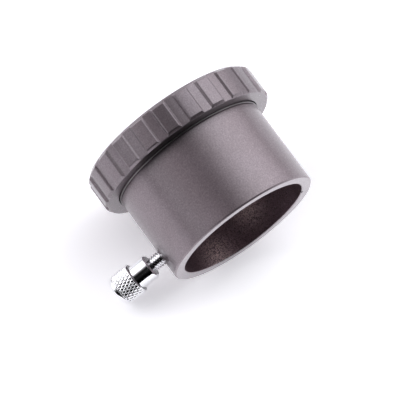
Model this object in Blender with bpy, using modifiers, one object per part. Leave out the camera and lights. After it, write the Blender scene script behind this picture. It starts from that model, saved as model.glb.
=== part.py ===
"""Barlow lens for 2-inch eyepieces, with a rotating coupling ring.

A turned tube takes the eyepiece barrel in its open end and holds it with one
thumbscrew. A fluted ring turns freely on the other end and pulls the tube's
flange against the telescope. A pair of lenses sits in a cell behind the
eyepiece barrel.

Dimensions are in mm and the scene is in metres. +Z runs along the optical axis
towards the eyepiece, so "front" is +Z and "rear" is -Z. +X runs out through the
thumbscrew. The ring's rear face is the plane z = 0, and the origin is the
centre of the part's footprint box in that plane, so the optical axis stands at
x = AXIS_X.
"""

import math

import bmesh
import bpy
from mathutils import Matrix, Vector

MM = 0.001
GAP = 0.3                # clearance between neighbouring pieces

# ---- dimensions: radii from the optical axis, heights from the rear face ----
LENGTH = 47.0            # ring's rear face to the tube's rim
BORE_R = 25.5            # bore for a 50.8 mm eyepiece barrel
TUBE_R = 29.75
RIM_CHAMFER = 0.5
BORE_CHAMFER = 0.3
TUBE_SEGMENTS = 80

RING_LAND_R = 35.65      # coupling ring, over the lands
RING_GROOVE_R = 34.85    # bottom of the flutes
RING_HEIGHT = 12.5
RING_HOLE_R = TUBE_R + GAP
RING_WEB = 3.0           # thickness of the ring's inward lip
RING_WEB_REAR = RING_HEIGHT - RING_WEB
RING_THREAD_R = 31.6     # mean radius of the internal thread
RING_RELIEF_R = 32.2
RING_FRONT_CHAMFER = 0.9
RING_REAR_CHAMFER = 1.1
RING_HOLE_CHAMFER = 0.2
RING_THREAD_CHAMFER = 0.7
FLUTES = 23
SEGMENTS_PER_FLUTE = 4
FLUTE_HALF_TOP = 3.75    # degrees, half the flute's width at the land radius
FLUTE_HALF_FLOOR = 3.15  # degrees, at its floor
FLUTE_OVERRUN_R = 0.8    # cutter beyond the lands
FLUTE_OVERRUN_Z = 1.0    # cutter beyond each end face
LAND_PHASE = -102.2      # degrees, centre of the first land

FLANGE_R = 31.1          # tube's rear flange, caught behind the ring's lip
FLANGE_REAR = 6.7
FLANGE_FRONT = RING_WEB_REAR - GAP
FLANGE_CHAMFER = 0.4
RELIEF_TAPER = (FLANGE_FRONT - 1.6, FLANGE_FRONT - 1.2)  # thread to relief radius

CLIP_WIRE_R = 0.4        # wire snap ring in front of the coupling ring
CLIP_R = 29.87
CLIP_Z = RING_HEIGHT + GAP + CLIP_WIRE_R
CLIP_GROOVE_R = CLIP_R - CLIP_WIRE_R - GAP
CLIP_GROOVE_FRONT = CLIP_Z + CLIP_WIRE_R + GAP
CLIP_HALF_GAP = 7.0      # degrees
CLIP_GAP_AT = 78.0       # degrees, azimuth of the gap between its ends
CLIP_POINTS = 56

SHOULDER_Z = 17.0        # step in the bore that the lens cell seats against
COUNTERBORE_R = 26.6
CELL_R = COUNTERBORE_R - GAP
CELL_FRONT = SHOULDER_Z - GAP
CELL_REAR = 7.0
CELL_LIP_R = 21.4
CELL_LIP = 1.1           # thickness of the cell's front lip
CELL_LIP_REAR = CELL_FRONT - CELL_LIP
CELL_CHAMFER = 0.3
CELL_SEGMENTS = 64       # also the spacer and the retaining ring
CELL_SLOT_SIZE = (3.0, 1.6, 2.4)   # radial, across, along Z
CELL_SLOT_R = CELL_R - 1.0

# Lens edges are (rear z, front z). Each rise is how far the centre of the
# surface stands in front of its edge, again (rear, front).
LENS_R = 22.5
LENS_CHAMFER = 0.4
CELL_BORE_R = LENS_R + GAP
FRONT_LENS = (12.5, CELL_LIP_REAR - GAP)
FRONT_LENS_RISE = (1.0, -0.6)      # hollow on both sides
REAR_LENS = (9.0, 11.4)
REAR_LENS_RISE = (0.25, 0.93)      # hollow at the rear, domed in front
LENS_STEPS = 4
LENS_SEGMENTS = 48
SPACER = (REAR_LENS[1] + GAP, FRONT_LENS[0] - GAP)
SPACER_BORE_R = 21.4
LOCK_RING = (7.2, REAR_LENS[0] - GAP)
LOCK_RING_BORE_R = 20.7
LOCK_RING_CHAMFER = 0.5
LOCK_SLOT_SIZE = (4.0, 1.4, 1.4)   # radial, across, along Z
LOCK_SLOT_R = LOCK_RING_BORE_R + 0.9

# Thumbscrew and pad: _R is measured from the screw's axis, _X from the optical axis.
SCREW_Z = 36.2           # thumbscrew axis above the ring's rear face
SCREW_THREAD_R = 2.9
SCREW_TIP_X = 26.85
SCREW_TIP_CHAMFER = 0.4
SCREW_NECK_X = 35.1
SCREW_NECK_R = 4.7
SCREW_NECK_CHAMFER = 0.3
SCREW_HEAD_X = 42.1
SCREW_HEAD_R = 6.0
SCREW_HEAD_CHAMFER = 0.4
SCREW_END_X = 51.0
SCREW_END_ROUND = 0.9
SCREW_ROUND_STEPS = 3
SCREW_SEGMENTS = 40
SCREW_HOLE_R = SCREW_THREAD_R + GAP
SCREW_HOLE_DEPTH = 8.0   # cutter length, centred on the tube's wall
SCREW_HOLE_SEGMENTS = 32
PAD_TIP_X = 25.75
PAD_R = 2.3
PAD_THICK = 0.8
PAD_CHAMFER = 0.2
PAD_STEM_R = 1.3
PAD_STEM_END_X = 29.0
PAD_SOCKET_R = PAD_STEM_R + GAP
PAD_SOCKET_END_X = 29.4
PAD_SEGMENTS = 24

AXIS_X = -(SCREW_END_X - RING_LAND_R) / 2   # optical axis, from the footprint's centre
EMPTY_SIZE = 10.0        # drawn size of the axis empties


# ---- scene ----------------------------------------------------------------
for old in list(bpy.data.objects):
    bpy.data.objects.remove(old, do_unlink=True)

parts = bpy.data.collections.new("barlow_lens")
cutters = bpy.data.collections.new("cutters")
bpy.context.scene.collection.children.link(parts)
bpy.context.scene.collection.children.link(cutters)


# ---- helpers --------------------------------------------------------------
def material(name, color, roughness, metallic, transmission=0.0):
    mat = bpy.data.materials.new(name)
    mat.use_nodes = True
    bsdf = mat.node_tree.nodes["Principled BSDF"]
    bsdf.inputs["Base Color"].default_value = (*color, 1.0)
    bsdf.inputs["Roughness"].default_value = roughness
    bsdf.inputs["Metallic"].default_value = metallic
    bsdf.inputs["Transmission Weight"].default_value = transmission
    mat.diffuse_color = (*color, 1.0)
    return mat


def empty(name, location, parent=None):
    obj = bpy.data.objects.new(name, None)
    obj.empty_display_size = EMPTY_SIZE * MM
    obj.location = Vector(location) * MM
    obj.parent = parent
    parts.objects.link(obj)
    return obj


def turned(name, profile, segments, parent, mat, closed=True):
    """A lathe-turned piece: (radius, height) pairs in mm, listed down the outer
    side, swept about the parent's Z axis. A profile that starts and ends on the
    axis is left open."""
    bm = bmesh.new()
    verts = [bm.verts.new((r * MM, 0.0, z * MM)) for r, z in profile]
    for start, end in zip(verts, verts[1:]):
        bm.edges.new((start, end))
    if closed:
        bm.edges.new((verts[-1], verts[0]))
    mesh = bpy.data.meshes.new(name)
    bm.to_mesh(mesh)
    bm.free()
    mesh.materials.append(mat)
    obj = bpy.data.objects.new(name, mesh)
    parts.objects.link(obj)
    obj.parent = parent
    screw = obj.modifiers.new("turn", "SCREW")
    screw.axis = "Z"
    screw.angle = math.tau
    screw.steps = segments
    screw.render_steps = segments
    screw.use_merge_vertices = True
    screw.merge_threshold = 0.00001
    screw.use_smooth_shade = True
    return obj


def cut(obj, cutter):
    cutter.hide_render = True
    cutter.display_type = "WIRE"
    boolean = obj.modifiers.new("cut_" + cutter.name, "BOOLEAN")
    boolean.operation = "DIFFERENCE"
    boolean.object = cutter


def active_as_cutter(name, parent):
    """Names the primitive just added and moves it to the cutters collection."""
    obj = bpy.context.active_object
    obj.name = name
    for coll in list(obj.users_collection):
        coll.objects.unlink(obj)
    cutters.objects.link(obj)
    obj.parent = parent
    return obj


def cut_slots(piece, name, size, radius, z, first_azimuth):
    """Two opposite rectangular slots, each centred at a radius and height."""
    for side in (0, 180):
        bpy.ops.mesh.primitive_cube_add(size=1.0)
        slot = active_as_cutter("%s_%d" % (name, side), optical_axis)
        slot.data.name = slot.name
        slot.data.transform(Matrix.Diagonal((*(Vector(size) * MM), 1.0)))
        turn = Matrix.Rotation(math.radians(side + first_azimuth), 4, "Z")
        slot.matrix_basis = turn @ Matrix.Translation(Vector((radius, 0, z)) * MM)
        cut(piece, slot)


def dish(edge_z, rise, radius):
    """Points of a spherical surface from its edge to the axis, in mm.
    rise is the height of the centre above the edge, negative if below."""
    sag = abs(rise)
    ball = (radius ** 2 + sag ** 2) / (2 * sag)
    points = []
    for i in range(LENS_STEPS + 1):
        r = radius * (1 - i / LENS_STEPS)
        height = math.sqrt(ball ** 2 - r ** 2) - (ball - sag)
        points.append((r, edge_z + math.copysign(height, rise)))
    return points


# ---- tube: bore, rim, clip groove, rear flange, counterbore for the cell ---
def holder_tube(mat):
    tube = turned("holder_tube", [
        (BORE_R + BORE_CHAMFER, LENGTH),
        (TUBE_R - RIM_CHAMFER, LENGTH),
        (TUBE_R, LENGTH - RIM_CHAMFER),
        (TUBE_R, CLIP_GROOVE_FRONT),
        (CLIP_GROOVE_R, CLIP_GROOVE_FRONT),
        (CLIP_GROOVE_R, RING_HEIGHT),
        (TUBE_R, RING_HEIGHT),
        (TUBE_R, FLANGE_FRONT),
        (FLANGE_R, FLANGE_FRONT),
        (FLANGE_R, FLANGE_REAR + FLANGE_CHAMFER),
        (FLANGE_R - FLANGE_CHAMFER, FLANGE_REAR),
        (COUNTERBORE_R + FLANGE_CHAMFER, FLANGE_REAR),
        (COUNTERBORE_R, FLANGE_REAR + FLANGE_CHAMFER),
        (COUNTERBORE_R, SHOULDER_Z),
        (BORE_R, SHOULDER_Z),
        (BORE_R, LENGTH - BORE_CHAMFER),
    ], TUBE_SEGMENTS, optical_axis, mat)

    bpy.ops.mesh.primitive_cylinder_add(
        vertices=SCREW_HOLE_SEGMENTS, radius=SCREW_HOLE_R * MM, depth=SCREW_HOLE_DEPTH * MM)
    hole = active_as_cutter("screw_hole", screw_axis)
    hole.location = (0, 0, (BORE_R + TUBE_R) / 2 * MM)
    cut(tube, hole)


# ---- coupling ring: fluted outside, lip in front, threaded hollow behind ---
def coupling_ring(mat):
    ring = turned("coupling_ring", [
        (RING_HOLE_R + RING_HOLE_CHAMFER, RING_HEIGHT),
        (RING_LAND_R - RING_FRONT_CHAMFER, RING_HEIGHT),
        (RING_LAND_R, RING_HEIGHT - RING_FRONT_CHAMFER),
        (RING_LAND_R, RING_REAR_CHAMFER),
        (RING_LAND_R - RING_REAR_CHAMFER, 0.0),
        (RING_THREAD_R + RING_THREAD_CHAMFER, 0.0),
        (RING_THREAD_R, RING_THREAD_CHAMFER),
        (RING_THREAD_R, RELIEF_TAPER[0]),
        (RING_RELIEF_R, RELIEF_TAPER[1]),
        (RING_RELIEF_R, RING_WEB_REAR),
        (RING_HOLE_R, RING_WEB_REAR),
        (RING_HOLE_R, RING_HEIGHT - RING_HOLE_CHAMFER),
    ], FLUTES * SEGMENTS_PER_FLUTE, ring_axis, mat)
    ring.rotation_euler = (0, 0, math.radians(LAND_PHASE))
    cut(ring, flute_cutter())


def flute_cutter():
    """One mesh of separate prisms, one for each flute."""
    floor = math.radians(FLUTE_HALF_FLOOR)
    slope = ((math.radians(FLUTE_HALF_TOP) - floor)
             / (RING_LAND_R - RING_GROOVE_R))
    outer_r = RING_LAND_R + FLUTE_OVERRUN_R
    wide = floor + slope * (outer_r - RING_GROOVE_R)
    # (radius, angle from the flute's middle); the floor is split in three
    outline = [(RING_GROOVE_R, -floor), (outer_r, -wide), (outer_r, wide),
               (RING_GROOVE_R, floor), (RING_GROOVE_R, floor / 3),
               (RING_GROOVE_R, -floor / 3)]
    bm = bmesh.new()
    for k in range(FLUTES):
        middle = math.tau * (k + 0.5) / FLUTES
        rear, front = [
            [bm.verts.new((r * math.cos(middle + angle) * MM,
                           r * math.sin(middle + angle) * MM, z * MM))
             for r, angle in outline]
            for z in (-FLUTE_OVERRUN_Z, RING_HEIGHT + FLUTE_OVERRUN_Z)]
        bm.faces.new(rear[::-1])
        bm.faces.new(front)
        for i in range(len(outline)):
            j = (i + 1) % len(outline)
            bm.faces.new((rear[i], rear[j], front[j], front[i]))
    bmesh.ops.recalc_face_normals(bm, faces=bm.faces)
    mesh = bpy.data.meshes.new("flutes")
    bm.to_mesh(mesh)
    bm.free()
    flutes = bpy.data.objects.new("flutes", mesh)
    cutters.objects.link(flutes)
    flutes.parent = ring_axis
    flutes.rotation_euler = (0, 0, math.radians(LAND_PHASE))
    return flutes


# ---- wire snap ring that keeps the coupling ring on the tube ---------------
def retaining_clip(mat):
    wire = bpy.data.curves.new("retaining_clip", "CURVE")
    wire.dimensions = "3D"
    wire.bevel_depth = CLIP_WIRE_R * MM
    wire.bevel_resolution = 2
    wire.use_fill_caps = True
    wire.materials.append(mat)
    line = wire.splines.new("POLY")
    line.points.add(CLIP_POINTS - 1)
    sweep = 360 - 2 * CLIP_HALF_GAP
    for i, point in enumerate(line.points):
        angle = math.radians(CLIP_GAP_AT + CLIP_HALF_GAP + sweep * i / (CLIP_POINTS - 1))
        point.co = (CLIP_R * math.cos(angle) * MM, CLIP_R * math.sin(angle) * MM,
                    CLIP_Z * MM, 1.0)
    clip = bpy.data.objects.new("retaining_clip", wire)
    parts.objects.link(clip)
    clip.parent = optical_axis


# ---- lens cell and its optics ----------------------------------------------
def lens_cell(mat):
    cell = turned("lens_cell", [
        (CELL_LIP_R + CELL_CHAMFER, CELL_FRONT),
        (CELL_R - CELL_CHAMFER, CELL_FRONT),
        (CELL_R, CELL_FRONT - CELL_CHAMFER),
        (CELL_R, CELL_REAR + CELL_CHAMFER),
        (CELL_R - CELL_CHAMFER, CELL_REAR),
        (CELL_BORE_R, CELL_REAR),
        (CELL_BORE_R, CELL_LIP_REAR),
        (CELL_LIP_R, CELL_LIP_REAR),
        (CELL_LIP_R, CELL_FRONT - CELL_CHAMFER),
    ], CELL_SEGMENTS, optical_axis, mat)
    cut_slots(cell, "cell_slot", CELL_SLOT_SIZE, CELL_SLOT_R, CELL_REAR, first_azimuth=90)


def lens(name, edges, rises, mat):
    rear, front = edges
    face_r = LENS_R - LENS_CHAMFER
    profile = (dish(front, rises[1], face_r)[::-1]
               + [(LENS_R, front - LENS_CHAMFER), (LENS_R, rear + LENS_CHAMFER)]
               + dish(rear, rises[0], face_r))
    turned(name, profile, LENS_SEGMENTS, optical_axis, mat, closed=False)


def lens_spacer(mat):
    rear, front = SPACER
    turned("lens_spacer", [
        (SPACER_BORE_R, front),
        (LENS_R, front),
        (LENS_R, rear),
        (SPACER_BORE_R, rear),
    ], CELL_SEGMENTS, optical_axis, mat)


def lens_retaining_ring(mat):
    rear, front = LOCK_RING
    lock_ring = turned("lens_retaining_ring", [
        (LOCK_RING_BORE_R + LOCK_RING_CHAMFER, front),
        (LENS_R, front),
        (LENS_R, rear),
        (LOCK_RING_BORE_R, rear),
        (LOCK_RING_BORE_R, front - LOCK_RING_CHAMFER),
    ], CELL_SEGMENTS, optical_axis, mat)
    cut_slots(lock_ring, "lock_slot", LOCK_SLOT_SIZE, LOCK_SLOT_R, rear, first_azimuth=0)


# ---- thumbscrew and the pad in its end --------------------------------------
def thumbscrew(mat):
    angles = [math.radians(90 * i / SCREW_ROUND_STEPS) for i in range(SCREW_ROUND_STEPS + 1)]
    crown = [(SCREW_HEAD_R - SCREW_END_ROUND * (1 - math.sin(angle)),
              SCREW_END_X - SCREW_END_ROUND * (1 - math.cos(angle))) for angle in angles]
    turned("thumbscrew", [(0.0, SCREW_END_X)] + crown + [
        (SCREW_HEAD_R, SCREW_HEAD_X + SCREW_HEAD_CHAMFER),
        (SCREW_HEAD_R - SCREW_HEAD_CHAMFER, SCREW_HEAD_X),
        (SCREW_NECK_R, SCREW_HEAD_X),
        (SCREW_NECK_R, SCREW_NECK_X + SCREW_NECK_CHAMFER),
        (SCREW_NECK_R - SCREW_NECK_CHAMFER, SCREW_NECK_X),
        (SCREW_THREAD_R, SCREW_NECK_X),
        (SCREW_THREAD_R, SCREW_TIP_X + SCREW_TIP_CHAMFER),
        (SCREW_THREAD_R - SCREW_TIP_CHAMFER, SCREW_TIP_X),
        (PAD_SOCKET_R, SCREW_TIP_X),
        (PAD_SOCKET_R, PAD_SOCKET_END_X),
        (0.0, PAD_SOCKET_END_X),
    ], SCREW_SEGMENTS, screw_axis, mat, closed=False)


def thumbscrew_pad(mat):
    turned("thumbscrew_pad", [
        (0.0, PAD_STEM_END_X),
        (PAD_STEM_R, PAD_STEM_END_X),
        (PAD_STEM_R, PAD_TIP_X + PAD_THICK),
        (PAD_R, PAD_TIP_X + PAD_THICK),
        (PAD_R, PAD_TIP_X + PAD_CHAMFER),
        (PAD_R - PAD_CHAMFER, PAD_TIP_X),
        (0.0, PAD_TIP_X),
    ], PAD_SEGMENTS, screw_axis, mat, closed=False)


# ---- frame ----------------------------------------------------------------
optical_axis = empty("optical_axis", (AXIS_X, 0, 0))
ring_axis = empty("ring_axis", (0, 0, 0), optical_axis)
screw_axis = empty("screw_axis", (0, 0, SCREW_Z), optical_axis)
screw_axis.rotation_euler = (0, math.radians(90), 0)   # its local Z runs along +X

# ---- materials ------------------------------------------------------------
anodised = material("anodised_grey", (0.115, 0.102, 0.104), roughness=0.42, metallic=0.75)
ring_anodised = material("ring_anodised", (0.105, 0.094, 0.096), roughness=0.44, metallic=0.75)
black = material("black_anodised", (0.018, 0.018, 0.02), roughness=0.55, metallic=0.5)
chrome = material("chrome_plate", (0.83, 0.84, 0.86), roughness=0.1, metallic=1.0)
steel = material("spring_steel", (0.5, 0.5, 0.51), roughness=0.3, metallic=1.0)
glass = material("coated_glass", (0.86, 0.93, 0.95), roughness=0.02, metallic=0.0,
                 transmission=0.9)
nylon = material("nylon", (0.75, 0.74, 0.7), roughness=0.55, metallic=0.0)

# ---- build ----------------------------------------------------------------
holder_tube(anodised)
coupling_ring(ring_anodised)
retaining_clip(steel)
lens_cell(black)
lens("front_lens", FRONT_LENS, FRONT_LENS_RISE, glass)
lens("rear_lens", REAR_LENS, REAR_LENS_RISE, glass)
lens_spacer(black)
lens_retaining_ring(black)
thumbscrew(chrome)
thumbscrew_pad(nylon)
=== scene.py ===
"""Looks for the barlow lens: fine turned, fluted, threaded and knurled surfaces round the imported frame."""
import math

import bmesh
import bpy
import numpy as np
from mathutils import Matrix, Vector


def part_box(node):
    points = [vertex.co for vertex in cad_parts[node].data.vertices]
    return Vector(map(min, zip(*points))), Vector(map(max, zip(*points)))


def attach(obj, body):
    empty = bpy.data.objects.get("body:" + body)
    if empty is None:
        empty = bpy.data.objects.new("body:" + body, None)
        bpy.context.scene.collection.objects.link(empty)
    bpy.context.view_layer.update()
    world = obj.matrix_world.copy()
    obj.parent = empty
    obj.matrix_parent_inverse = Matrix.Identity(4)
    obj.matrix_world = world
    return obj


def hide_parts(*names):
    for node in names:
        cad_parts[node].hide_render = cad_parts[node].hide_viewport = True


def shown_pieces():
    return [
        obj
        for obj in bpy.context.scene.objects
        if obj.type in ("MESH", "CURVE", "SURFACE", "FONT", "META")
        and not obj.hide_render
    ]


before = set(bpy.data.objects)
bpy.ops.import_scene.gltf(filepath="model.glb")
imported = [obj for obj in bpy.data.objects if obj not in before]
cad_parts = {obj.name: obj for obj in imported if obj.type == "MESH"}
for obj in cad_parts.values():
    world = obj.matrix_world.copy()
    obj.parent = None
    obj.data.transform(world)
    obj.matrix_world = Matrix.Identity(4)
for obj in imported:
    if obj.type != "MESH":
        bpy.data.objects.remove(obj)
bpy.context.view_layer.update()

MM = 0.001

# ---------------------------------------------------------------- frame sizes
tube_lo, tube_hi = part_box("holder_tube")
ring_lo, ring_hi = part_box("coupling_ring")
screw_lo, screw_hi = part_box("thumbscrew")
pad_lo, pad_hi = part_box("thumbscrew_pad")
clip_lo, clip_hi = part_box("retaining_clip")
cell_lo, cell_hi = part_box("lens_cell")
front_lo, front_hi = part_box("front_lens")
rear_lo, rear_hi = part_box("rear_lens")
spacer_lo, spacer_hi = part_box("lens_spacer")
lock_lo, lock_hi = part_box("lens_retaining_ring")

AX = round((tube_lo.x + tube_hi.x) / 2 / MM, 3)          # optical axis, mm
LENGTH = tube_hi.z / MM
TUBE_R = 29.75
BORE_R = 25.5
RING_R = round((ring_hi.x - ring_lo.x) / 2 / MM, 2)
RING_H = ring_hi.z / MM
SCREW_Z = (screw_lo.z + screw_hi.z) / 2 / MM
SCREW_TIP = screw_lo.x / MM - AX
SCREW_END = screw_hi.x / MM - AX


# ---------------------------------------------------------------- mesh helpers
def fillet(points, closed=True):
    """Profile corners (r, z, radius, steps) to points, with each corner rounded."""
    out = []
    n = len(points)
    for i, p in enumerate(points):
        r, z = p[0], p[1]
        rad = p[2] if len(p) > 2 else 0
        steps = p[3] if len(p) > 3 else 4
        if not rad or (not closed and i in (0, n - 1)):
            out.append((r, z))
            continue
        a = np.array(points[i - 1][:2], float) - (r, z)
        b = np.array(points[(i + 1) % n][:2], float) - (r, z)
        la, lb = np.linalg.norm(a), np.linalg.norm(b)
        a, b = a / la, b / lb
        half = math.acos(max(-1, min(1, float(a @ b)))) / 2
        if half > math.radians(89):
            out.append((r, z))
            continue
        t = min(rad / math.tan(half), la * 0.49, lb * 0.49)
        rad = t * math.tan(half)
        centre = np.array((r, z)) + (a + b) / np.linalg.norm(a + b) * (rad / math.sin(half))
        s, e = np.array((r, z)) + a * t - centre, np.array((r, z)) + b * t - centre
        a0, a1 = math.atan2(s[1], s[0]), math.atan2(e[1], e[0])
        d = (a1 - a0 + math.pi) % math.tau - math.pi
        for k in range(steps + 1):
            ang = a0 + d * k / steps
            out.append((centre[0] + rad * math.cos(ang), centre[1] + rad * math.sin(ang)))
    return out


def refine(points, longest, closed=True):
    """Adds points along straight runs, and a guard point next to each corner, so that shading stays crisp."""
    out = []
    n = len(points)
    for i in range(n if closed else n - 1):
        a, b = np.array(points[i], float), np.array(points[(i + 1) % n], float)
        length = np.linalg.norm(b - a)
        cuts = [0.0]
        if length > 0.9:
            guard = 0.12 / length
            inner = max(1, int(math.ceil(length / longest)))
            cuts += [guard] + [guard + (1 - 2 * guard) * k / inner for k in range(1, inner)] + [1 - guard]
        out += [tuple(a + (b - a) * c) for c in cuts]
    if not closed:
        out.append(tuple(points[-1]))
    return out


def grid(name, co, wrap_rows=False, poles=False):
    """A closed mesh from rows x columns of points in mm. Columns wrap. Rows wrap too, or end in pole points."""
    rows, cols = co.shape[:2]
    verts = [tuple(v) for v in (co.reshape(-1, 3) * MM).tolist()]
    faces = []
    last = rows if wrap_rows else rows - 1
    for i in range(last):
        a, b = i * cols, ((i + 1) % rows) * cols
        for j in range(cols):
            k = (j + 1) % cols
            faces.append((a + j, a + k, b + k, b + j))
    if poles:
        for row, flip in ((0, False), (rows - 1, True)):
            centre = co[row].mean(axis=0) * MM
            verts.append(tuple(centre))
            c = len(verts) - 1
            for j in range(cols):
                k = (j + 1) % cols
                f = (c, row * cols + k, row * cols + j)
                faces.append(f[::-1] if flip else f)
    mesh = bpy.data.meshes.new(name)
    mesh.from_pydata(verts, [], faces)
    mesh.update()
    bm = bmesh.new()
    bm.from_mesh(mesh)
    bmesh.ops.recalc_face_normals(bm, faces=bm.faces)
    if bm.calc_volume(signed=True) < 0:
        bmesh.ops.reverse_faces(bm, faces=bm.faces)
    bm.to_mesh(mesh)
    bm.free()
    obj = bpy.data.objects.new(name, mesh)
    bpy.context.scene.collection.objects.link(obj)
    return obj


def lathe(name, profile, cols, closed=True, longest=4.0, axis="Z"):
    """Turns a profile of (r, z) about the optical axis. An open profile ends near the axis and gets poles."""
    pts = refine(profile, longest, closed)
    prof = np.array(pts, float)
    ang = np.arange(cols) * math.tau / cols
    co = np.empty((len(prof), cols, 3))
    co[..., 0] = prof[:, 0:1] * np.cos(ang) + AX
    co[..., 1] = prof[:, 0:1] * np.sin(ang)
    co[..., 2] = prof[:, 1:2]
    return grid(name, co, wrap_rows=closed, poles=not closed)


def cutter_box(size, centre, azimuth):
    bm = bmesh.new()
    bmesh.ops.create_cube(bm, size=1.0)
    bmesh.ops.transform(bm, matrix=Matrix.Diagonal((*size, 1.0)), verts=bm.verts)
    bmesh.ops.transform(bm, matrix=Matrix.Translation(centre), verts=bm.verts)
    bmesh.ops.transform(bm, matrix=Matrix.Rotation(math.radians(azimuth), 4, "Z"), verts=bm.verts)
    bmesh.ops.transform(bm, matrix=Matrix.Translation((AX, 0, 0)), verts=bm.verts)
    bmesh.ops.scale(bm, vec=(MM, MM, MM), verts=bm.verts)
    mesh = bpy.data.meshes.new("cutter")
    bm.to_mesh(mesh)
    bm.free()
    obj = bpy.data.objects.new("cutter", mesh)
    bpy.context.scene.collection.objects.link(obj)
    return obj


def cutter_cone(r0, r1, x0, x1, z, cols=64):
    """A cone frustum along +X at height z, radius r0 at x0 to r1 at x1."""
    ang = np.arange(cols) * math.tau / cols
    co = np.empty((2, cols, 3))
    for i, (r, x) in enumerate(((r0, x0), (r1, x1))):
        co[i, :, 0] = x + AX
        co[i, :, 1] = r * np.cos(ang)
        co[i, :, 2] = z + r * np.sin(ang)
    return grid("cutter", co, poles=True)


def boolean(obj, *tools):
    """Cuts obj with the tools, applies it, and removes the tools."""
    for t in tools:
        m = obj.modifiers.new("cut", "BOOLEAN")
        m.operation = "DIFFERENCE"
        m.solver = "EXACT"
        m.object = t
    bpy.context.view_layer.update()
    dg = bpy.context.evaluated_depsgraph_get()
    done = bpy.data.meshes.new_from_object(obj.evaluated_get(dg))
    obj.modifiers.clear()
    old = obj.data
    obj.data = done
    done.name = old.name
    bpy.data.meshes.remove(old)
    for t in tools:
        bpy.data.objects.remove(t, do_unlink=True)


def mark_edges(mesh):
    """Stores how convex the surface is at each vertex, 0.5 being flat, for the wear on the edges."""
    n, m = len(mesh.vertices), len(mesh.edges)
    co, nr, ends = np.empty(n * 3), np.empty(n * 3), np.empty(m * 2, np.int32)
    mesh.vertices.foreach_get("co", co)
    mesh.vertex_normals.foreach_get("vector", nr)
    mesh.edges.foreach_get("vertices", ends)
    co, nr = co.reshape(-1, 3), nr.reshape(-1, 3)
    a, b = ends[0::2], ends[1::2]
    d = co[b] - co[a]
    d /= np.maximum(np.linalg.norm(d, axis=1, keepdims=True), 1e-12)
    count = np.maximum(np.bincount(a, minlength=n) + np.bincount(b, minlength=n), 1)
    lean = (np.bincount(a, (d * nr[a]).sum(1), n) - np.bincount(b, (d * nr[b]).sum(1), n)) / count
    convex = np.arccos(np.clip(lean, -1, 1)) / math.pi
    convex = (convex + np.bincount(a, convex[b], n) + np.bincount(b, convex[a], n)) / (count + 1)
    mesh.attributes.new("convex", "FLOAT", "POINT").data.foreach_set("value", convex.astype(np.float32))


def finish_piece(obj, body, mats, nodes, angle=32, weighted=True):
    mark_edges(obj.data)
    for m in mats if isinstance(mats, (list, tuple)) else [mats]:
        obj.data.materials.append(m)
    obj.data.shade_smooth()
    obj.data.set_sharp_from_angle(angle=math.radians(angle))
    if weighted:
        w = obj.modifiers.new("normals", "WEIGHTED_NORMAL")
        w.keep_sharp = True
        w.weight = 60
    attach(obj, body)
    if nodes:
        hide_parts(*nodes)
    return obj


# ---------------------------------------------------------------- materials
class Nodes:
    """A short way to write a node tree."""

    def __init__(self, mat):
        mat.use_nodes = True
        self.t = mat.node_tree
        self.t.nodes.clear()

    def n(self, kind, **kw):
        node = self.t.nodes.new(kind)
        for k, v in kw.items():
            if k.startswith("i_"):
                node.inputs[k[2:].replace("_", " ")].default_value = v
            else:
                setattr(node, k, v)
        return node

    def l(self, a, b):
        self.t.links.new(a, b)

    def math(self, op, a, b=None, c=None, clamp=False):
        node = self.t.nodes.new("ShaderNodeMath")
        node.operation = op
        node.use_clamp = clamp
        for i, v in enumerate((a, b, c)):
            if v is None:
                continue
            if isinstance(v, (int, float)):
                node.inputs[i].default_value = v
            else:
                self.t.links.new(v, node.inputs[i])
        return node.outputs[0]

    def ramp(self, fac, stops, interp="LINEAR"):
        node = self.t.nodes.new("ShaderNodeValToRGB")
        node.color_ramp.interpolation = interp
        e = node.color_ramp.elements
        while len(e) > 1:
            e.remove(e[-1])
        e[0].position, e[0].color = stops[0][0], _rgba(stops[0][1])
        for p, c in stops[1:]:
            x = e.new(p)
            x.color = _rgba(c)
        self.l(fac, node.inputs[0])
        return node.outputs[0]

    def mix(self, fac, a, b, blend="MIX"):
        node = self.t.nodes.new("ShaderNodeMix")
        node.data_type = "RGBA"
        node.blend_type = blend
        for sock, v in ((node.inputs[0], fac), (node.inputs[6], a), (node.inputs[7], b)):
            if isinstance(v, (int, float)):
                sock.default_value = v
            elif isinstance(v, (tuple, list)):
                sock.default_value = _rgba(v)
            else:
                self.l(v, sock)
        return node.outputs[2]

    def noise(self, vec, scale, detail=2.0, rough=0.5, distortion=0.0):
        node = self.n("ShaderNodeTexNoise")
        node.inputs["Scale"].default_value = scale
        node.inputs["Detail"].default_value = detail
        node.inputs["Roughness"].default_value = rough
        node.inputs["Distortion"].default_value = distortion
        self.l(vec, node.inputs["Vector"])
        return node.outputs["Fac"]


def _rgba(c):
    if isinstance(c, (int, float)):
        return (c, c, c, 1.0)
    return (*c[:3], 1.0)


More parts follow.
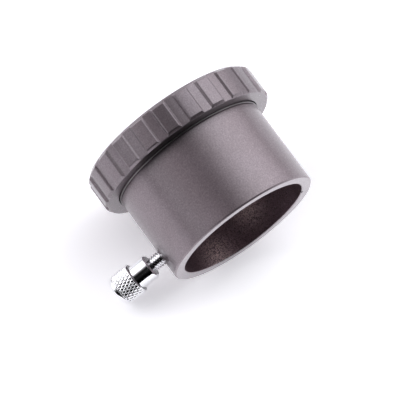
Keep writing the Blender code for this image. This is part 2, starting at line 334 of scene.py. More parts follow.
def blasted(name, dark, light, rough=0.44, metallic=0.93, grain=1.0, wear=0.35, fleck=0.5, coat=0.8, gloss=0.2, film=1.5, painted_glints=()):
    """Bead-blasted, dyed anodising: fine pitted grain, bright flecks, soft mottling, worn edges.
    Each entry of the last argument is (centre in mm, radius in mm, gain): a paler, more speckled patch, a painted
    reflection of light."""
    mat = bpy.data.materials.new(name)
    k = Nodes(mat)
    out = k.n("ShaderNodeOutputMaterial")
    b = k.n("ShaderNodeBsdfPrincipled")
    k.l(b.outputs[0], out.inputs[0])
    co = k.n("ShaderNodeTexCoord").outputs["Object"]
    cloud = k.noise(co, 95.0, 3.0, 0.55)
    fine = k.noise(co, 2100.0, 3.0, 0.7)
    micro = k.noise(co, 5200.0, 2.0, 0.6)
    v = k.n("ShaderNodeTexVoronoi")
    v.feature = "F1"
    v.inputs["Scale"].default_value = 1900.0
    k.l(co, v.inputs["Vector"])
    sep = k.n("ShaderNodeSeparateColor")
    k.l(v.outputs["Color"], sep.inputs[0])
    flecks = k.math("MULTIPLY", k.math("GREATER_THAN", sep.outputs[0], 0.86),
                    k.math("SUBTRACT", 1.0, k.math("MULTIPLY", v.outputs["Distance"], 1.6), clamp=True))
    base = k.mix(k.math("MULTIPLY_ADD", cloud, 1.6, -0.3, clamp=True), dark, light)
    speck = k.math("MULTIPLY_ADD", fine, 1.5 * grain, 1.0 - 0.75 * grain)
    base = k.mix(1.0, base, k.mix(1.0, (1, 1, 1), speck, "MULTIPLY"), "MULTIPLY")
    # painted reflection: each patch turns the base colour pale pink round its centre, standing in for light reflected
    # in the surface
    for centre, radius, gain in painted_glints:
        away = k.n("ShaderNodeVectorMath", operation="DISTANCE")
        k.l(co, away.inputs[0])
        away.inputs[1].default_value = tuple(c * MM for c in centre)
        near = k.math("DIVIDE", away.outputs["Value"], radius * MM)
        near = k.math("EXPONENT", k.math("MULTIPLY", k.math("MULTIPLY", near, near), -1.0))
        near = k.math("MULTIPLY", near, k.math("MULTIPLY_ADD", fine, 5.0, -1.9, clamp=True))
        base = k.mix(k.math("MULTIPLY", near, gain), base, (0.86, 0.68, 0.68))
    base = k.mix(k.math("MULTIPLY", flecks, fleck), base, (0.62, 0.6, 0.6))
    convex = k.n("ShaderNodeAttribute", attribute_name="convex").outputs["Fac"]
    edge = k.math("MULTIPLY", k.ramp(convex, [(0.51, 0.0), (0.58, 1.0)]), wear)
    edge = k.math("MULTIPLY", edge, k.math("MULTIPLY_ADD", fine, 1.2, 0.2, clamp=True))
    base = k.mix(edge, base, (0.55, 0.54, 0.55))
    k.l(base, b.inputs["Base Color"])
    b.inputs["Metallic"].default_value = metallic
    r = k.math("MULTIPLY_ADD", cloud, 0.08, rough - 0.04)
    r = k.math("ADD", r, k.math("MULTIPLY_ADD", micro, 0.16, -0.08))
    r = k.math("SUBTRACT", r, k.math("MULTIPLY", flecks, 0.1))
    k.l(r, b.inputs["Roughness"])
    b.inputs["Specular IOR Level"].default_value = 0.5
    b.inputs["Coat Weight"].default_value = coat
    b.inputs["Coat Roughness"].default_value = gloss
    b.inputs["Coat IOR"].default_value = film
    bump = k.n("ShaderNodeBump")
    bump.inputs["Strength"].default_value = 0.5
    bump.inputs["Distance"].default_value = 0.00003
    k.l(k.math("ADD", fine, k.math("MULTIPLY", micro, 0.6)), bump.inputs["Height"])
    k.l(bump.outputs[0], b.inputs["Normal"])
    return mat


def turned_metal(name, color, rough=0.25, metallic=1.0, lines=0.5, wave=5200.0, axis="Z"):
    """Lathe-turned metal: fine rings of tool marks round the axis and a little smudging."""
    mat = bpy.data.materials.new(name)
    k = Nodes(mat)
    out = k.n("ShaderNodeOutputMaterial")
    b = k.n("ShaderNodeBsdfPrincipled")
    k.l(b.outputs[0], out.inputs[0])
    co = k.n("ShaderNodeTexCoord").outputs["Object"]
    sep = k.n("ShaderNodeSeparateXYZ")
    k.l(co, sep.inputs[0])
    if axis == "Z":
        dx = k.math("SUBTRACT", sep.outputs[0], AX * MM)
        rr = k.math("SQRT", k.math("ADD", k.math("MULTIPLY", dx, dx), k.math("MULTIPLY", sep.outputs[1], sep.outputs[1])))
        along = sep.outputs[2]
    else:
        dz = k.math("SUBTRACT", sep.outputs[2], SCREW_Z * MM)
        rr = k.math("SQRT", k.math("ADD", k.math("MULTIPLY", dz, dz), k.math("MULTIPLY", sep.outputs[1], sep.outputs[1])))
        along = sep.outputs[0]
    comb = k.n("ShaderNodeCombineXYZ")
    k.l(k.math("MULTIPLY", k.math("ADD", rr, along), 1.0), comb.inputs[0])
    ringn = k.noise(comb.outputs[0], wave, 3.0, 0.6)
    smudge = k.noise(co, 160.0, 3.0, 0.6)
    base = k.mix(k.math("MULTIPLY_ADD", smudge, 1.4, -0.2, clamp=True), tuple(c * 0.86 for c in color), color)
    k.l(base, b.inputs["Base Color"])
    b.inputs["Metallic"].default_value = metallic
    r = k.math("ADD", k.math("MULTIPLY_ADD", ringn, 0.1, rough - 0.05), k.math("MULTIPLY_ADD", smudge, 0.08, -0.04))
    k.l(r, b.inputs["Roughness"])
    bump = k.n("ShaderNodeBump")
    bump.inputs["Strength"].default_value = lines
    bump.inputs["Distance"].default_value = 0.00001
    k.l(ringn, bump.inputs["Height"])
    k.l(bump.outputs[0], b.inputs["Normal"])
    return mat


def lens_glass(name, tint, film):
    """Polished, coated glass with a faint reflection colour and a little dust."""
    mat = bpy.data.materials.new(name)
    k = Nodes(mat)
    out = k.n("ShaderNodeOutputMaterial")
    b = k.n("ShaderNodeBsdfPrincipled")
    clear = k.n("ShaderNodeBsdfTransparent")
    clear.inputs[0].default_value = (0.97, 0.98, 0.97, 1)
    ray = k.n("ShaderNodeLightPath")
    pick = k.n("ShaderNodeMixShader")
    k.l(k.math("MAXIMUM", ray.outputs["Is Shadow Ray"], ray.outputs["Is Diffuse Ray"]), pick.inputs[0])
    k.l(b.outputs[0], pick.inputs[1])
    k.l(clear.outputs[0], pick.inputs[2])
    k.l(pick.outputs[0], out.inputs[0])
    co = k.n("ShaderNodeTexCoord").outputs["Object"]
    dust = k.ramp(k.noise(co, 900.0, 2.0, 0.5), [(0.66, 0.0), (0.74, 1.0)])
    haze = k.noise(co, 60.0, 3.0, 0.5)
    k.l(k.mix(k.math("MULTIPLY", dust, 0.08), tint, (0.8, 0.8, 0.8)), b.inputs["Base Color"])
    b.inputs["Transmission Weight"].default_value = 1.0
    b.inputs["IOR"].default_value = 1.52
    k.l(k.math("ADD", k.math("MULTIPLY", dust, 0.05), k.math("MULTIPLY", haze, 0.003)), b.inputs["Roughness"])
    b.inputs["Specular Tint"].default_value = _rgba(film)
    b.inputs["Thin Film Thickness"].default_value = 420.0
    b.inputs["Thin Film IOR"].default_value = 1.38
    return mat


def plastic(name, color, rough=0.5, sss=0.15):
    mat = bpy.data.materials.new(name)
    k = Nodes(mat)
    out = k.n("ShaderNodeOutputMaterial")
    b = k.n("ShaderNodeBsdfPrincipled")
    k.l(b.outputs[0], out.inputs[0])
    co = k.n("ShaderNodeTexCoord").outputs["Object"]
    cloud = k.noise(co, 500.0, 3.0, 0.6)
    k.l(k.mix(cloud, tuple(c * 0.85 for c in color), color), b.inputs["Base Color"])
    k.l(k.math("MULTIPLY_ADD", cloud, 0.2, rough - 0.1), b.inputs["Roughness"])
    b.inputs["Subsurface Weight"].default_value = sss
    b.inputs["Subsurface Radius"].default_value = (0.0006, 0.0005, 0.0004)
    bump = k.n("ShaderNodeBump")
    bump.inputs["Strength"].default_value = 0.3
    bump.inputs["Distance"].default_value = 0.00002
    k.l(k.noise(co, 3000.0, 2.0, 0.5), bump.inputs["Height"])
    k.l(bump.outputs[0], b.inputs["Normal"])
    return mat


TUBE_MAT = blasted("tube_anodised", (0.205, 0.165, 0.180), (0.246, 0.202, 0.223), rough=0.42, fleck=0.10, grain=0.75, coat=1.0, gloss=0.24, film=1.7)
# painted light: the rim end face gets a lighter copy of the tube's anodising, standing in for the white floor's
# bright reflection on it
LIT_RIM_MAT = blasted("rim_anodised_painted_light", (0.389, 0.352, 0.371), (0.453, 0.413, 0.438), rough=0.36, fleck=0.06, grain=0.6, coat=0.8, gloss=0.22)
RING_MAT = blasted("ring_anodised", (0.184, 0.151, 0.165), (0.223, 0.186, 0.206), rough=0.36, fleck=0.10, wear=0.4, grain=0.7, coat=1.0, gloss=0.20, film=1.65)
# the bore's two pale patches are painted reflections of light coming in through the opening, not wear
BORE_MAT = blasted("bore_anodised", (0.171, 0.112, 0.133), (0.258, 0.181, 0.209), rough=0.46, metallic=0.85, grain=1.8, fleck=0.3, wear=0.0, coat=0.3, gloss=0.3,
                   painted_glints=[((9.5, 19.0, 43.5), 6.5, 1.0), ((-8.0, 25.4, 37.0), 5.5, 0.6)])
BLACK_MAT = blasted("black_anodised", (0.018, 0.018, 0.020), (0.030, 0.029, 0.031), rough=0.5, metallic=0.3, fleck=0.1, wear=0.25, coat=0.0)
CHROME_MAT = turned_metal("chrome_plate", (0.87, 0.87, 0.885), rough=0.10, lines=0.08, axis="X")
# painted shade: a dark copy of the chrome for the flat shoulder faces, standing in for the shade and dark reflections
# they sit in
SHADED_SHOULDER_MAT = turned_metal("chrome_painted_shade", (0.30, 0.30, 0.31), rough=0.26, lines=0.3, axis="X")
STEEL_MAT = turned_metal("spring_steel", (0.36, 0.34, 0.35), rough=0.3, lines=0.3)
FRONT_GLASS = lens_glass("front_glass", (0.985, 0.995, 0.99), (0.75, 1.0, 0.85))
REAR_GLASS = lens_glass("rear_glass", (0.99, 0.985, 0.995), (0.85, 0.75, 1.0))
EDGE_MAT = plastic("edge_black", (0.02, 0.02, 0.022), 0.6, 0.0)
NYLON_MAT = plastic("nylon", (0.78, 0.76, 0.70), 0.5, 0.25)


# ---------------------------------------------------------------- tube
CLIP_Z = clip_lo.z / MM + 0.08
tube = lathe("tube_shell", fillet([
    (BORE_R + 0.3, LENGTH, 0.10, 3),
    (TUBE_R - 0.5, LENGTH, 0.12, 3),
    (TUBE_R, LENGTH - 0.5, 0.15, 3),
    (TUBE_R, CLIP_Z + 0.62, 0.05, 2),
    (TUBE_R - 0.38, CLIP_Z + 0.5, 0.05, 2),
    (TUBE_R - 0.38, RING_H + 0.08, 0.05, 2),
    (TUBE_R, RING_H + 0.0, 0.05, 2),
    (TUBE_R, 9.2, 0.10, 2),
    (31.1, 9.2, 0.12, 2),
    (31.1, 6.7, 0.35, 4),
    (26.6, 6.7, 0.35, 4),
    (26.6, 17.0, 0.05, 2),
    (BORE_R, 17.0, 0.12, 3),
    (BORE_R, LENGTH - 0.3, 0.10, 3),
]), 288, longest=3.0)
boolean(tube, cutter_cone(2.98, 2.98, 24.0, 31.0, SCREW_Z), cutter_cone(2.8, 3.6, 29.3, 30.1, SCREW_Z),
        cutter_box((1.3, 0.9, 1.0), (BORE_R + 0.1, 0, LENGTH), 152))
finish_piece(tube, "tube", [TUBE_MAT, BORE_MAT, LIT_RIM_MAT], ["holder_tube"])
for p in tube.data.polygons:
    c = p.center / MM
    rad = math.hypot(c.x - AX, c.y)
    if rad < BORE_R + 0.12 or c.z < 6.9 and rad < 27:
        p.material_index = 1
    # painted light: the lighter rim copy goes on the end face
    elif c.z > LENGTH - 0.35 and rad < TUBE_R - 0.3:
        p.material_index = 2


# ---------------------------------------------------------------- coupling ring
FLUTES, PHASE = 23, -102.2
GROOVE_R = RING_R - 0.8


def soft_step(t, k0=0.5, k1=0.18):
    """0 to 1 with a wide rounding at the land's edge and a crisp corner at the floor."""
    t = np.asarray(t, float)
    return np.where(t < -k0, 0, np.where(t < k0, (t + k0) ** 2 / (4 * k0), np.where(
        t < 1 - k1, t, np.where(t < 1 + k1, 1 - (1 + k1 - t) ** 2 / (4 * k1), 1))))


def smooth_min(a, b, k):
    h = np.maximum(k - np.abs(a - b), 0) / k
    return np.minimum(a, b) - h * h * k / 4


pitch = 360 / FLUTES
land_half, floor_half = pitch / 2 - 3.78, 2.85
wall0, wall1 = land_half, pitch / 2 - floor_half
w = wall1 - wall0
half = [0.0, 1.4, 2.7, 3.4] + [wall0 + w * t for t in (-0.5, -0.34, -0.17, 0, 0.17, 0.34, 0.5, 0.66, 0.82, 0.91, 1, 1.09, 1.18)] + [5.7, 6.8]
one = sorted(set([-a for a in half if a > 0] + half + [pitch / 2]))
cols = np.radians(np.array([PHASE + pitch * f + a for f in range(FLUTES) for a in one]))
local = np.abs(np.array([a for f in range(FLUTES) for a in one]))
flute = RING_R - 0.8 * soft_step((local - wall0) / w)

rows = []
zs = [0, .04, .1, .2, .34, .44, .52, .6, .74, .9, 1.05, 1.15, 1.22, 1.3, 1.38, 1.46, 1.6, 1.9, 3, 5, 7, 9, 10.6, 11.2, 11.4, 11.5, 11.57, 11.63, 11.7,
      11.8, 11.9, 12.0, 12.1, 12.2, 12.28, 12.34, 12.4, 12.45]
for z in zs:
    front = (RING_R - 0.9) + (RING_H - z)
    rear = (RING_R - 1.3) + z
    r = smooth_min(smooth_min(flute, np.full_like(flute, front), 0.16), np.full_like(flute, rear), 0.16)
    rows.append((r, np.full_like(r, z)))


def flat_row(r, z):
    rows.append((np.full_like(flute, r), np.full_like(flute, z)))


for r, z in ((RING_R - 0.93, RING_H - 0.012), (RING_R - 0.98, RING_H), (RING_R - 1.2, RING_H), (33.0, RING_H), (31.3, RING_H), (30.42, RING_H),
             (30.30, RING_H), (30.24, RING_H - 0.02), (30.07, RING_H - 0.2), (30.05, RING_H - 0.25), (30.05, RING_H - 0.5), (30.05, 9.62),
             (30.05, 9.5), (30.2, 9.5), (32.1, 9.5), (32.2, 9.45), (32.2, 8.3)):
    flat_row(r, z)
for i in range(73):
    z = 8.2 - 7.55 * i / 72
    tri = 1 - 4 * np.abs(((z - cols / math.tau) % 1.0) - 0.5)
    wave = np.clip(tri * 1.35, -1, 1)
    fade = min(1.0, max(0.0, (8.2 - z) / 0.7)) * min(1.0, max(0.0, (z - 0.65) / 0.35))
    mean = 31.74 + (1 - fade) * 0.26
    rows.append((mean + 0.26 * wave * fade, np.full_like(flute, z)))
for r, z in ((32.15, 0.45), (32.55, 0.03), (32.62, 0.0), (32.8, 0.0), (33.6, 0.0), (34.2, 0.0), (RING_R - 1.36, 0.0)):
    flat_row(r, z)
co = np.array([np.stack([r * np.cos(cols) + AX, r * np.sin(cols), z], -1) for r, z in rows])
ring = grid("coupling_ring_fluted", co, wrap_rows=True)
finish_piece(ring, "coupling_ring", RING_MAT, ["coupling_ring"], angle=40, weighted=False)


# ---------------------------------------------------------------- wire snap ring
wire_r = 0.24
mid_r = (clip_hi.x - clip_lo.x) / 2 / MM - 0.55
n_arc, n_sec = 300, 20
a0, a1 = math.radians(78 + 7), math.radians(78 + 353)
path = [(a0 + (a1 - a0) * i / (n_arc - 1), 1.0) for i in range(n_arc)]
cap = [(a0 - wire_r / mid_r * math.sin(t), math.cos(t)) for t in np.linspace(math.pi / 2 - 0.12, 0.25, 5)]
cap2 = [(a1 + wire_r / mid_r * math.sin(t), math.cos(t)) for t in np.linspace(0.25, math.pi / 2 - 0.12, 5)]
sec = np.arange(n_sec) * math.tau / n_sec
co = []
for a, s in cap + path + cap2:
    r = mid_r + wire_r * s * np.cos(sec)
    co.append(np.stack([r * math.cos(a) + AX, r * math.sin(a), CLIP_Z + wire_r * s * np.sin(sec)], -1))
# the wire's end caps stay inside the frame's ends
co = np.array(co)
clip = grid("clip_wire", co, poles=True)
finish_piece(clip, "tube", STEEL_MAT, ["retaining_clip"], weighted=False)


# ---------------------------------------------------------------- lens cell, lenses, spacer, retaining ring
cz0, cz1 = cell_lo.z / MM, cell_hi.z / MM
baffle = []
for i in range(3):
    z = cz1 - 0.3 - 0.26 * i
    baffle += [(21.4 + 0.10, z), (21.4, z - 0.05), (21.4, z - 0.16)]
cell = lathe("lens_cell_body", fillet([
    (21.75, cz1, 0.08, 2), (26.0, cz1, 0.1, 2), (26.3, cz1 - 0.3, 0.1, 2),
    (26.3, cz0 + 0.3, 0.1, 2), (26.0, cz0, 0.1, 2), (23.1, cz0, 0.1, 2), (22.8, cz0 + 0.3, 0.05, 2),
    (22.8, cz1 - 1.1, 0.03, 2), (21.42, cz1 - 1.1, 0.05, 2),
] + [(r, z) for r, z in baffle[::-1]]), 256, longest=2.5)
boolean(cell, *[cutter_box((2.4, 1.6, 2.4), (26.3 - 0.7, 0, cz0), a) for a in (90, 270)])
finish_piece(cell, "tube", BLACK_MAT, ["lens_cell"])


def dish(sign, edge_z, sag, radius, steps):
    ball = (radius ** 2 + sag ** 2) / (2 * sag)
    pts = []
    for i in range(steps + 1):
        r = radius * (1 - i / steps)
        if i == steps:
            r = 0.05
        pts.append((r, edge_z + sign * (math.sqrt(ball ** 2 - r ** 2) - (ball - sag))))
    return pts


def lens(name, z0, z1, lower, upper, node, mat):
    rad = 22.5
    top = dish(upper[0], z1, upper[1], rad - 0.4, 24)
    bottom = dish(lower[0], z0, lower[1], rad - 0.4, 24)
    prof = top[::-1] + [(rad - 0.04, z1 - 0.36), (rad, z1 - 0.42), (rad, z0 + 0.42), (rad - 0.04, z0 + 0.36)] + bottom
    obj = lathe(name, prof, 160, closed=False, longest=50)
    finish_piece(obj, "tube", [mat, EDGE_MAT], [node], angle=30)
    for p in obj.data.polygons:
        c = p.center / MM
        if math.hypot(c.x - AX, c.y) > rad - 0.42:
            p.material_index = 1
    return obj


lens("front_lens_glass", 12.5, 15.3, (+1, 1.0), (-1, 0.6), "front_lens", FRONT_GLASS)
lens("rear_lens_glass", 9.0, 11.4, (+1, 0.25), (+1, 0.93), "rear_lens", REAR_GLASS)

sz0, sz1 = spacer_lo.z / MM, spacer_hi.z / MM
spacer = lathe("lens_spacer_ring", fillet([
    (21.45, sz1, 0.06, 2), (22.5, sz1, 0.06, 2), (22.5, sz0, 0.06, 2), (21.45, sz0, 0.06, 2)]), 200)
finish_piece(spacer, "tube", BLACK_MAT, ["lens_spacer"])

lz0, lz1 = lock_lo.z / MM, lock_hi.z / MM
thread = []
for i in range(3):
    z = lz0 + 0.3 + 0.42 * i
    thread += [(22.5, z + 0.06), (22.22, z + 0.21), (22.5, z + 0.36)]
lock = lathe("lens_lock_ring", [(22.3, lz0), (22.5, lz0 + 0.18)] + thread + [
    (22.5, lz1 - 0.05), (22.45, lz1), (21.2, lz1), (20.74, lz1 - 0.5), (20.7, lz1 - 0.6), (20.7, lz0 + 0.1), (20.8, lz0)], 256, longest=1.5)
boolean(lock, *[cutter_box((3.2, 1.4, 1.4), (20.7 + 0.5, 0, lz0), a) for a in (0, 180)])
finish_piece(lock, "tube", BLACK_MAT, ["lens_retaining_ring"])


# ---------------------------------------------------------------- thumbscrew
def about_x(rows_rx, cols_n):
    """Rows of (radius array or number, x) about the thumbscrew's axis."""
    ang = np.arange(cols_n) * math.tau / cols_n
    co = np.empty((len(rows_rx), cols_n, 3))
    for i, (r, x) in enumerate(rows_rx):
        r = np.broadcast_to(r, ang.shape)
        co[i, :, 0] = x + AX
        co[i, :, 1] = r * np.cos(ang)
        co[i, :, 2] = SCREW_Z + r * np.sin(ang)
    return co


COLS, STARTS, HEAD_R, HEAD_X, NECK_X, NECK_R = 432, 27, 6.0, 42.1, 35.1, 4.7
ang = np.arange(COLS) * math.tau / COLS
KNURL, KNURL_AX = 0.17, 2.40


def tri(u):
    return 1 - np.abs(2 * (u % 1.0) - 1)


def knurl(x):
    u = STARTS * ang / math.tau + x / KNURL_AX
    v = STARTS * ang / math.tau - x / KNURL_AX
    a, b = np.clip(tri(u) * 2.0, 0, 1), np.clip(tri(v) * 2.0, 0, 1)
    return np.minimum(a * a * (3 - 2 * a), b * b * (3 - 2 * b)) * 0.6 + np.minimum(a, b) * 0.4


rows = []
rows += [(0.15, SCREW_END - 0.5), (0.8, SCREW_END - 0.30), (1.05, SCREW_END - 0.12), (1.2, SCREW_END - 0.05), (1.5, SCREW_END - 0.04),
         (2.6, SCREW_END - 0.03), (3.5, SCREW_END - 0.01), (4.4, SCREW_END)]
for i in range(1, 7):
    t = math.radians(90 * i / 6)
    rows.append((4.95 + 0.65 * math.sin(t) - 0.25 * (1 - i / 6), SCREW_END - 0.55 * (1 - math.cos(t))))
rows += [(5.72, SCREW_END - 0.9), (5.80, SCREW_END - 1.25), (5.82, SCREW_END - 1.45), (5.78, SCREW_END - 1.52), (5.70, SCREW_END - 1.56),
         (5.68, SCREW_END - 1.62), (5.72, SCREW_END - 1.67)]
x = SCREW_END - 1.7
n = 84
for i in range(0, n):
    xx = x - (x - (HEAD_X + 0.4)) * i / n
    fade = min(1.0, max(0.0, (x - xx) / 0.45)) * min(1.0, (n - i) / 4)
    rows.append((HEAD_R - 0.16 * (1 - min(1.0, (x - xx) / 0.2)) - KNURL * (1 - knurl(xx)) * fade, xx))
rows += [(HEAD_R, HEAD_X + 0.4), (HEAD_R - 0.06, HEAD_X + 0.3), (HEAD_R - 0.34, HEAD_X + 0.04), (HEAD_R - 0.42, HEAD_X), (HEAD_R - 0.7, HEAD_X),
         (NECK_R + 0.15, HEAD_X), (NECK_R + 0.03, HEAD_X - 0.03), (NECK_R, HEAD_X - 0.12), (NECK_R, HEAD_X - 0.3), (NECK_R, (HEAD_X + NECK_X) / 2),
         (NECK_R, NECK_X + 0.75), (NECK_R - 0.02, NECK_X + 0.62), (NECK_R - 0.10, NECK_X + 0.50), (NECK_R - 0.5, NECK_X + 0.08),
         (NECK_R - 0.6, NECK_X), (NECK_R - 0.8, NECK_X), (2.6, NECK_X), (2.4, NECK_X - 0.03), (2.33, NECK_X - 0.1), (2.33, NECK_X - 0.45),
         (2.36, NECK_X - 0.55)]
t0, t1 = NECK_X - 0.6, SCREW_TIP + 0.35
n = 96
for i in range(n + 1):
    xx = t0 - (t0 - t1) * i / n
    saw = 1 - 4 * np.abs(((xx - ang / math.tau) % 1.0) - 0.5)
    prof = np.clip(saw * 1.4, -1, 1)
    fade = min(1.0, (t0 - xx) / 0.5)
    low = 2.33
    crest = 2.9 - 0.27 + 0.27 * prof
    rows.append((low + (crest - low) * fade, xx))
rows += [(2.62, SCREW_TIP + 0.2), (2.45, SCREW_TIP + 0.04), (2.38, SCREW_TIP), (2.2, SCREW_TIP), (1.75, SCREW_TIP), (1.62, SCREW_TIP + 0.04),
         (1.6, SCREW_TIP + 0.15), (1.6, 28.0), (1.6, 29.2), (1.55, 29.35), (1.4, 29.4), (0.1, 29.4)]
screw = grid("thumbscrew_knurled", about_x(rows, COLS), poles=True)
finish_piece(screw, "thumbscrew", [CHROME_MAT, SHADED_SHOULDER_MAT], ["thumbscrew"], angle=38, weighted=False)
# painted shade: the flat faces at the neck and under the head take the dark chrome copy
for p in screw.data.polygons:
    x = p.center.x / MM - AX
    if p.normal.x < -0.8 and (abs(x - NECK_X) < 0.8 or abs(x - HEAD_X) < 0.3):
        p.material_index = 1

px0, px1 = pad_lo.x / MM - AX, pad_hi.x / MM - AX
pad = grid("nylon_pad", about_x([
    (0.08, px0), (1.2, px0), (2.05, px0 + 0.0), (2.16, px0 + 0.03), (2.26, px0 + 0.12), (2.3, px0 + 0.25), (2.3, px0 + 0.6), (2.27, px0 + 0.74),
    (2.18, px0 + 0.8), (1.6, px0 + 0.8), (1.36, px0 + 0.8), (1.3, px0 + 0.86), (1.3, px0 + 1.1), (1.3, px1 - 0.4), (1.28, px1 - 0.2),
    (1.1, px1 - 0.02), (0.95, px1), (0.08, px1)], 96), poles=True)
finish_piece(pad, "screw_pad", NYLON_MAT, ["thumbscrew_pad"], angle=45, weighted=False)


# ---------------------------------------------------------------- camera
RIGHT = Vector((-0.76420, 0.29264, 0.57475))
UP = Vector((-0.61778, -0.07614, -0.78264))
BACK = Vector((-0.18528, -0.95318, 0.23898))
cam_data = bpy.data.cameras.new("camera")
cam_data.sensor_width = 36.0
cam_data.lens = 317.3
cam_data.clip_start, cam_data.clip_end = 0.05, 20.0
cam = bpy.data.objects.new("camera", cam_data)
bpy.context.scene.collection.objects.link(cam)
m = Matrix.Identity(4)
for i, v in enumerate((RIGHT, UP, BACK)):
    for j in range(3):
        m[j][i] = v[j]
cam.matrix_world = Matrix.Translation((-0.22757 + AX * MM, -1.20494, 0.33070)) @ m
bpy.context.scene.camera = cam


def cam_dir(x, y, z):
    """A direction given to the camera's right, up and back, in the row frame."""
    return (RIGHT * x + UP * y + BACK * z).normalized()


# ---------------------------------------------------------------- floor
N = Vector((-0.5078, -0.8452, -0.1671)).normalized()
low = 1e9
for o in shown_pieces():
    co = np.empty(len(o.data.vertices) * 3, np.float64)
    if len(co):
        o.data.vertices.foreach_get("co", co)
        low = min(low, float((co.reshape(-1, 3) @ np.array(N)).min()))
CENTRE = Vector((AX * MM, 0, 0.024))
foot = CENTRE + N * (low - CENTRE.dot(N))
size = 3.0
t1v = N.orthogonal().normalized()
t2v = N.cross(t1v)
fm = bpy.data.meshes.new("floor")
corners = [foot + t1v * a * size + t2v * b * size for a, b in ((-1, -1), (1, -1), (1, 1), (-1, 1))]
fm.from_pydata([tuple(c) for c in corners], [], [(0, 1, 2, 3)])
fm.update()
if fm.polygons[0].normal.dot(N) < 0:
    fm.flip_normals()
floor = bpy.data.objects.new("floor", fm)
bpy.context.scene.collection.objects.link(floor)
mat = bpy.data.materials.new("paper")
k = Nodes(mat)
out = k.n("ShaderNodeOutputMaterial")
d = k.n("ShaderNodeBsdfDiffuse")
co = k.n("ShaderNodeTexCoord").outputs["Object"]
k.l(k.mix(k.noise(co, 700.0, 3.0, 0.6), (0.88, 0.875, 0.885), (0.90, 0.895, 0.905)), d.inputs["Color"])
glow = k.n("ShaderNodeEmission")
glow.inputs["Color"].default_value = (0.97, 0.96, 1.0, 1)


def across(direction, start, end):
    """0 to 1 over the floor from start to end, in mm from the object's middle towards the direction."""
    away = k.n("ShaderNodeVectorMath", operation="DOT_PRODUCT")
    k.l(k.n("ShaderNodeNewGeometry").outputs["Position"], away.inputs[0])
    away.inputs[1].default_value = tuple(direction)
    r = k.n("ShaderNodeMapRange", interpolation_type="SMOOTHSTEP")
    k.l(k.math("SUBTRACT", away.outputs["Value"], CENTRE.dot(direction)), r.inputs["Value"])
    r.inputs["From Min"].default_value = start * MM
    r.inputs["From Max"].default_value = end * MM
    return r.outputs["Result"]


# painted light: the paper's own glow is stronger to the right and below, standing in for the right softbox and the
# room's wall bouncing light on to it
GLOW_ALL, GLOW_RIGHT, GLOW_LOW, GLOW_CORNER = 0.345, 0.00, 0.10, 0.19
level = k.math("MULTIPLY_ADD", across(RIGHT, 10, 45), GLOW_RIGHT, GLOW_ALL)
level = k.math("MULTIPLY_ADD", across(-UP, 10, 45), GLOW_LOW, level)
level = k.math("MULTIPLY_ADD", across((RIGHT * 0.6 - UP * 0.8).normalized(), 15, 45), GLOW_CORNER, level)
k.l(level, glow.inputs["Strength"])
both = k.n("ShaderNodeAddShader")
k.l(d.outputs[0], both.inputs[0])
k.l(glow.outputs[0], both.inputs[1])
tr = k.n("ShaderNodeBsdfTransparent")
mx = k.n("ShaderNodeMixShader")
k.l(k.n("ShaderNodeNewGeometry").outputs["Backfacing"], mx.inputs[0])
k.l(both.outputs[0], mx.inputs[1])
k.l(tr.outputs[0], mx.inputs[2])
k.l(mx.outputs[0], out.inputs[0])
floor.data.materials.append(mat)


# ---------------------------------------------------------------- light
# A tent of soft glows round the table: two softboxes in front, left and right, a white wall behind, and the dark room
# on the photographer's side. Each glow is (right, up, back, strength), about 15 degrees wide.
LEFT_BOX = [(-0.85, 0.39, 0.36, 1.84), (-0.98, 0.12, 0.13, 1.76), (-0.91, 0.05, 0.41, 1.58), (-0.70, 0.33, 0.63, 1.56), (-0.88, 0.46, 0.07, 1.08),
            (-0.67, 0.66, 0.34, 0.96), (-0.52, 0.58, 0.63, 0.98), (-0.82, 0.53, -0.22, 0.77), (-0.66, 0.75, 0.04, 0.42), (-0.56, 0.79, -0.24, 0.30)]
RIGHT_BOX = [(0.54, 0.78, 0.32, 1.22), (0.26, 0.76, 0.60, 1.04), (0.54, 0.61, 0.57, 1.03), (0.76, 0.64, 0.15, 1.04), (0.32, 0.50, 0.80, 0.76),
             (0.80, 0.44, 0.41, 0.82), (0.17, 0.92, 0.35, 0.74), (0.91, 0.41, 0.03, 0.69), (0.04, 0.61, 0.79, 0.45), (0.69, 0.29, 0.66, 0.38),
             (0.93, 0.19, 0.31, 0.20)]
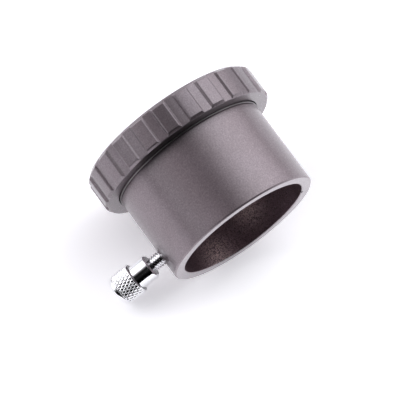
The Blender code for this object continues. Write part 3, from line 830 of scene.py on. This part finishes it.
BACK_WALL = [(0.58, 0.81, -0.10, 0.79), (0.76, 0.61, -0.23, 0.79), (-0.41, 0.83, 0.38, 0.77), (0.37, 0.92, 0.09, 0.69), (-0.14, 0.85, 0.50, 0.65),
             (0.30, 0.91, -0.29, 0.61), (-0.05, 0.90, -0.42, 0.55), (-0.07, 0.98, 0.18, 0.46), (0.09, 0.99, -0.08, 0.45), (-0.24, 0.95, -0.20, 0.38),
             (0.99, 0.13, -0.06, 0.36), (-0.37, 0.92, 0.08, 0.35), (-0.22, 0.66, 0.72, 0.06), (-0.10, -0.25, 0.96, 0.04)]
GLOW = 28.0
world = bpy.data.worlds.new("studio")
bpy.context.scene.world = world
k = Nodes(world)
out = k.n("ShaderNodeOutputWorld")
bg = k.n("ShaderNodeBackground")
bg.inputs["Color"].default_value = (1, 1, 1, 1)
bg.inputs["Strength"].default_value = 1.0
bg2 = k.n("ShaderNodeBackground")
co = k.n("ShaderNodeTexCoord").outputs["Generated"]


def tent(glows):
    total = None
    for x, y, z, strength in glows:
        dotn = k.n("ShaderNodeVectorMath", operation="DOT_PRODUCT")
        k.l(co, dotn.inputs[0])
        dotn.inputs[1].default_value = tuple(cam_dir(x, y, z))
        lobe = k.math("EXPONENT", k.math("MULTIPLY_ADD", dotn.outputs["Value"], GLOW, -GLOW))
        total = k.math("MULTIPLY", lobe, strength) if total is None else k.math("MULTIPLY_ADD", lobe, strength, total)
    return total


# the side boxes are a little cooler than what comes from the front
cool = [g for g in LEFT_BOX + RIGHT_BOX if abs(g[0]) > 0.8 or g[0] > 0]
warm = [g for g in LEFT_BOX + RIGHT_BOX + BACK_WALL if g not in cool]
k.l(k.mix(1.0, k.mix(1.0, tent(cool), (0.925, 0.95, 0.97), "MULTIPLY"), k.mix(1.0, tent(warm), (1.015, 0.985, 1.02), "MULTIPLY"), "ADD"),
    bg2.inputs["Color"])
bg2.inputs["Strength"].default_value = 1.0
mx = k.n("ShaderNodeMixShader")
ray = k.n("ShaderNodeLightPath")
k.l(k.math("MAXIMUM", ray.outputs["Is Camera Ray"], ray.outputs["Is Transmission Ray"]), mx.inputs[0])
k.l(bg2.outputs[0], mx.inputs[1])
k.l(bg.outputs[0], mx.inputs[2])
k.l(mx.outputs[0], out.inputs[0])

bpy.context.scene.view_settings.view_transform = "Standard"
bpy.context.scene.view_settings.look = "None"
bpy.context.scene.view_settings.gamma = 0.833
